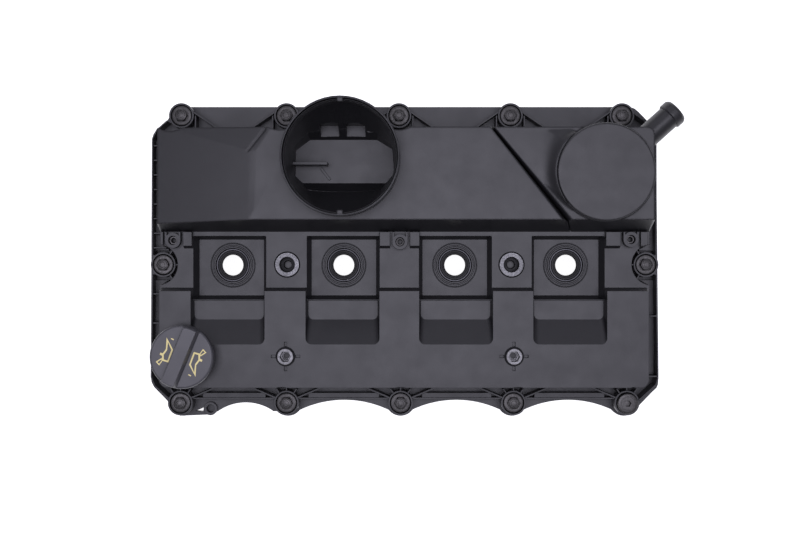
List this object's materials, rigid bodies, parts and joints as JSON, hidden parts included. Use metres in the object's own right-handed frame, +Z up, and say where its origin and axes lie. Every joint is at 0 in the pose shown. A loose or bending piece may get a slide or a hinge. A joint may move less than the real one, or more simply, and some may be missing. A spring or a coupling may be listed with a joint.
{
  "type": "cylinder head cover",
  "caption": "Moulded plastic cylinder head cover with intake plenum, round inlet collar, oil separator, breather nozzle, filler cap, captive bolts and injector seals.",
  "frame": {"origin": "middle of the overall box in plan, on the sealing face the cover lies on", "axes": "+X along the row of injectors towards the breather nozzle, +Y from the filler cap side to the plenum side, +Z up out of the engine"},
  "size_m": [0.4618, 0.2766, 0.118],
  "materials": {
    "black_nylon": "satin moulded black nylon with fine grain",
    "cap_plastic": "satin moulded dark grey plastic with yellow printed marks",
    "black_rubber": "moulded black rubber",
    "zinc_steel": "dark zinc plated steel",
    "insert_steel": "bare turned steel with a knurl",
    "black_steel": "black coated steel"
  },
  "bodies": {
    "cover": {"cover_base": "black_nylon", "plenum_shell": "black_nylon", "separator_shell": "black_nylon", "breather_nozzle": "black_nylon", "pcv_cap": "black_nylon", "oil_baffle": "black_nylon", "pcv_diaphragm": "black_rubber", "pcv_spring": "insert_steel", "baffle_screw_1": "zinc_steel", "baffle_screw_2": "zinc_steel", "baffle_screw_3": "zinc_steel", "baffle_screw_4": "zinc_steel", "cover_gasket": "black_rubber", "collar_seal": "black_rubber", "injector_seal_1": "black_rubber", "seal_case_1": "black_steel", "injector_seal_2": "black_rubber", "seal_case_2": "black_steel", "injector_seal_3": "black_rubber", "seal_case_3": "black_steel", "injector_seal_4": "black_rubber", "seal_case_4": "black_steel", "large_insert_1": "insert_steel", "large_insert_2": "insert_steel", "deck_insert_1": "zinc_steel", "deck_insert_2": "zinc_steel", "clip_insert_1": "zinc_steel", "clip_insert_2": "zinc_steel", "clip_insert_3": "zinc_steel", "bolt_grommet_1": "black_rubber", "bolt_grommet_2": "black_rubber", "bolt_grommet_3": "black_rubber", "bolt_grommet_4": "black_rubber", "bolt_grommet_5": "black_rubber", "bolt_grommet_6": "black_rubber", "bolt_grommet_7": "black_rubber", "bolt_grommet_8": "black_rubber", "bolt_grommet_9": "black_rubber", "bolt_grommet_10": "black_rubber", "bolt_grommet_11": "black_rubber", "bolt_grommet_12": "black_rubber"},
    "bolt_body_1": {"bolt_1": "zinc_steel"},
    "bolt_body_2": {"bolt_2": "zinc_steel"},
    "bolt_body_3": {"bolt_3": "zinc_steel"},
    "bolt_body_4": {"bolt_4": "zinc_steel"},
    "bolt_body_5": {"bolt_5": "zinc_steel"},
    "bolt_body_6": {"bolt_6": "zinc_steel"},
    "bolt_body_7": {"bolt_7": "zinc_steel"},
    "bolt_body_8": {"bolt_8": "zinc_steel"},
    "bolt_body_9": {"bolt_9": "zinc_steel"},
    "bolt_body_10": {"bolt_10": "zinc_steel"},
    "bolt_body_11": {"bolt_11": "zinc_steel"},
    "bolt_body_12": {"bolt_12": "zinc_steel"},
    "cap_carrier": {"filler_cap_seal": "black_rubber"},
    "cap": {"filler_cap": "cap_plastic"},
    "pcv_piston": {"pcv_plate": "black_steel"}
  },
  "joints": [
    {"name": "bolt_slide_1", "type": "slide", "parent": "cover", "child": "bolt_body_1", "axis": [0, 0, 1], "range_m": [-0.012, 0]},
    {"name": "bolt_slide_2", "type": "slide", "parent": "cover", "child": "bolt_body_2", "axis": [0, 0, 1], "range_m": [-0.012, 0]},
    {"name": "bolt_slide_3", "type": "slide", "parent": "cover", "child": "bolt_body_3", "axis": [0, 0, 1], "range_m": [-0.012, 0]},
    {"name": "bolt_slide_4", "type": "slide", "parent": "cover", "child": "bolt_body_4", "axis": [0, 0, 1], "range_m": [-0.012, 0]},
    {"name": "bolt_slide_5", "type": "slide", "parent": "cover", "child": "bolt_body_5", "axis": [0, 0, 1], "range_m": [-0.012, 0]},
    {"name": "bolt_slide_6", "type": "slide", "parent": "cover", "child": "bolt_body_6", "axis": [0, 0, 1], "range_m": [-0.012, 0]},
    {"name": "bolt_slide_7", "type": "slide", "parent": "cover", "child": "bolt_body_7", "axis": [0, 0, 1], "range_m": [-0.012, 0]},
    {"name": "bolt_slide_8", "type": "slide", "parent": "cover", "child": "bolt_body_8", "axis": [0, 0, 1], "range_m": [-0.012, 0]},
    {"name": "bolt_slide_9", "type": "slide", "parent": "cover", "child": "bolt_body_9", "axis": [0, 0, 1], "range_m": [-0.012, 0]},
    {"name": "bolt_slide_10", "type": "slide", "parent": "cover", "child": "bolt_body_10", "axis": [0, 0, 1], "range_m": [-0.012, 0]},
    {"name": "bolt_slide_11", "type": "slide", "parent": "cover", "child": "bolt_body_11", "axis": [0, 0, 1], "range_m": [-0.012, 0]},
    {"name": "bolt_slide_12", "type": "slide", "parent": "cover", "child": "bolt_body_12", "axis": [0, 0, 1], "range_m": [-0.012, 0]},
    {"name": "cap_lift", "type": "slide", "parent": "cover", "child": "cap_carrier", "axis": [0, 0, 1], "range_m": [0, 0.03]},
    {"name": "cap_turn", "type": "hinge", "parent": "cap_carrier", "child": "cap", "pos_m": [-0.19017, -0.0804, 0.078], "axis": [0, 0, 1], "range_deg": [0, 90]},
    {"name": "pcv_slide", "type": "slide", "parent": "cover", "child": "pcv_piston", "axis": [0, 0, 1], "range_m": [-0.003, 0], "stiffness_N_per_m": 150, "springref_m": 0.002, "deforming": ["pcv_spring", "pcv_diaphragm"]}
  ]
}
